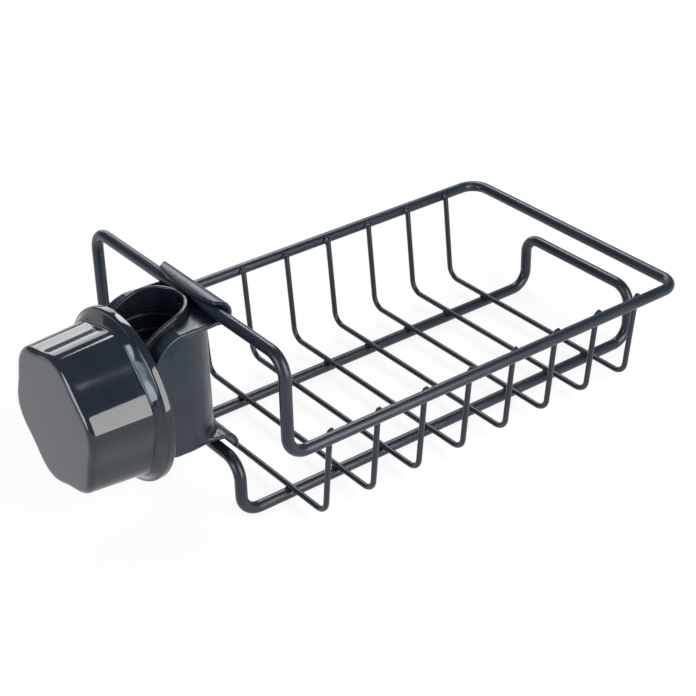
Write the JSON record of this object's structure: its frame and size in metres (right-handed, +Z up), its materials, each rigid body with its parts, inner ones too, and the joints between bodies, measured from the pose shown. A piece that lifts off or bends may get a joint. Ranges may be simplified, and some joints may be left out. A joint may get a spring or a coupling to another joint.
{
  "type": "sponge holder",
  "caption": "Wire basket for sponges and brushes that hangs beside a tap on a plastic clamp, which a lobed screw knob closes round the tap's stem.",
  "frame": {"origin": "on the axis of the tap stem that the clamp holds, at half the height of the clamp housing", "axes": "+Z up along the stem, +X along the basket away from the knob, +Y across the basket"},
  "size_m": [0.2305, 0.114, 0.0779],
  "materials": {
    "housing": "satin moulded plastic, slate grey",
    "knob": "glossy moulded plastic, slate grey",
    "liner": "matt ribbed rubber, near black",
    "pad": "matt hard rubber, near black",
    "wire": "satin powder coat, slate grey"
  },
  "bodies": {
    "clamp": {"clamp_body": "housing", "liner": "liner"},
    "pad": {"pressure_pad": "pad"},
    "knob": {"knob": "knob"},
    "basket": {"rim_frame": "wire", "base_frame": "wire", "cross_wire_1": "wire", "cross_wire_2": "wire", "cross_wire_3": "wire", "cross_wire_4": "wire", "cross_wire_5": "wire", "cross_wire_6": "wire", "cross_wire_7": "wire", "cross_wire_8": "wire"}
  },
  "joints": [
    {"name": "pad_travel", "type": "slide", "parent": "clamp", "child": "pad", "axis": [-1, 0, 0], "range_m": [0, 0.015]},
    {"name": "knob_turn", "type": "hinge", "parent": "pad", "child": "knob", "pos_m": [-0.02, 0, -0.0028], "axis": [-1, 0, 0], "range_deg": [0, 1800]},
    {"name": "basket_slide", "type": "slide", "parent": "clamp", "child": "basket", "axis": [0, 1, 0], "range_m": [-0.0318, 0.0262]}
  ],
  "couplings": [
    {"joint": "pad_travel", "follows": "knob_turn", "m_per_rad": 0.00047746}
  ]
}
